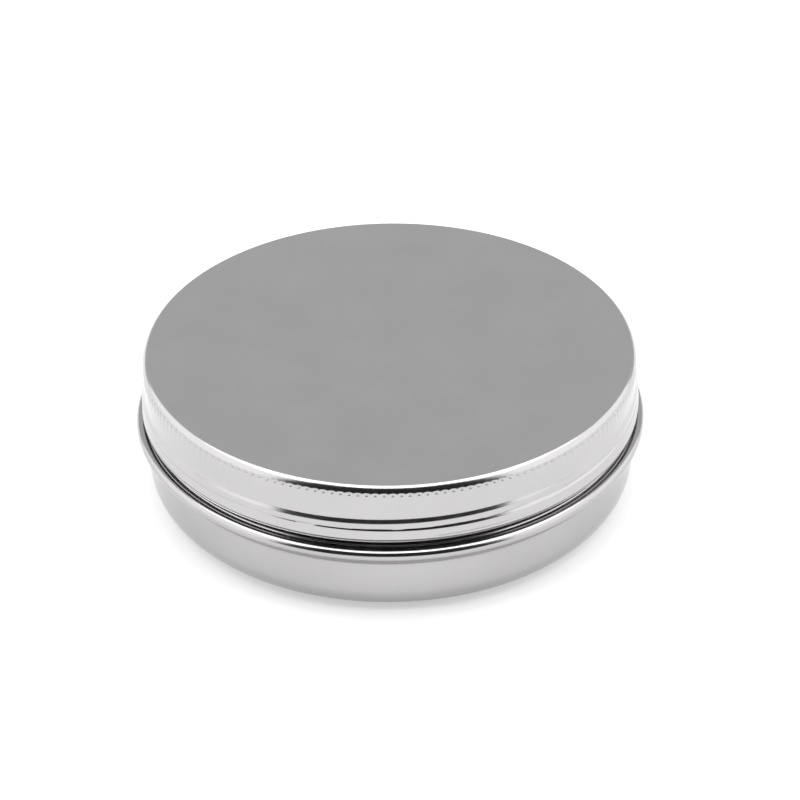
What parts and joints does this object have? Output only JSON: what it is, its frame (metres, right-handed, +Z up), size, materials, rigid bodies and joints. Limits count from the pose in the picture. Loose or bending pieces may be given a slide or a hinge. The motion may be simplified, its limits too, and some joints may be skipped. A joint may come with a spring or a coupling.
{
  "type": "screw lid tin",
  "caption": "Shallow round aluminium tin with a rolled screw thread, a knurled flat lid and a foam liner.",
  "frame": {"origin": "centre of the tin's footprint, on the table", "axes": "+Z up along the tin's axis, -Y towards the viewer of the picture"},
  "size_m": [0.085, 0.085, 0.0247],
  "materials": {
    "can_metal": "satin",
    "lid_metal": "satin",
    "liner_foam": "matte"
  },
  "bodies": {
    "can": {"can_body": "can_metal"},
    "liner": {"liner": "liner_foam"},
    "lid": {"lid": "lid_metal"}
  },
  "joints": [
    {"name": "lid_rise", "type": "slide", "parent": "can", "child": "liner", "axis": [0, 0, 1], "range_m": [0, 0.01261]},
    {"name": "lid_turn", "type": "hinge", "parent": "liner", "child": "lid", "pos_m": [0, 0, 0.0147], "axis": [0, 0, 1], "range_deg": [0, 1620]}
  ],
  "couplings": [
    {"joint": "lid_rise", "follows": "lid_turn", "m_per_rad": 0.00044563}
  ]
}
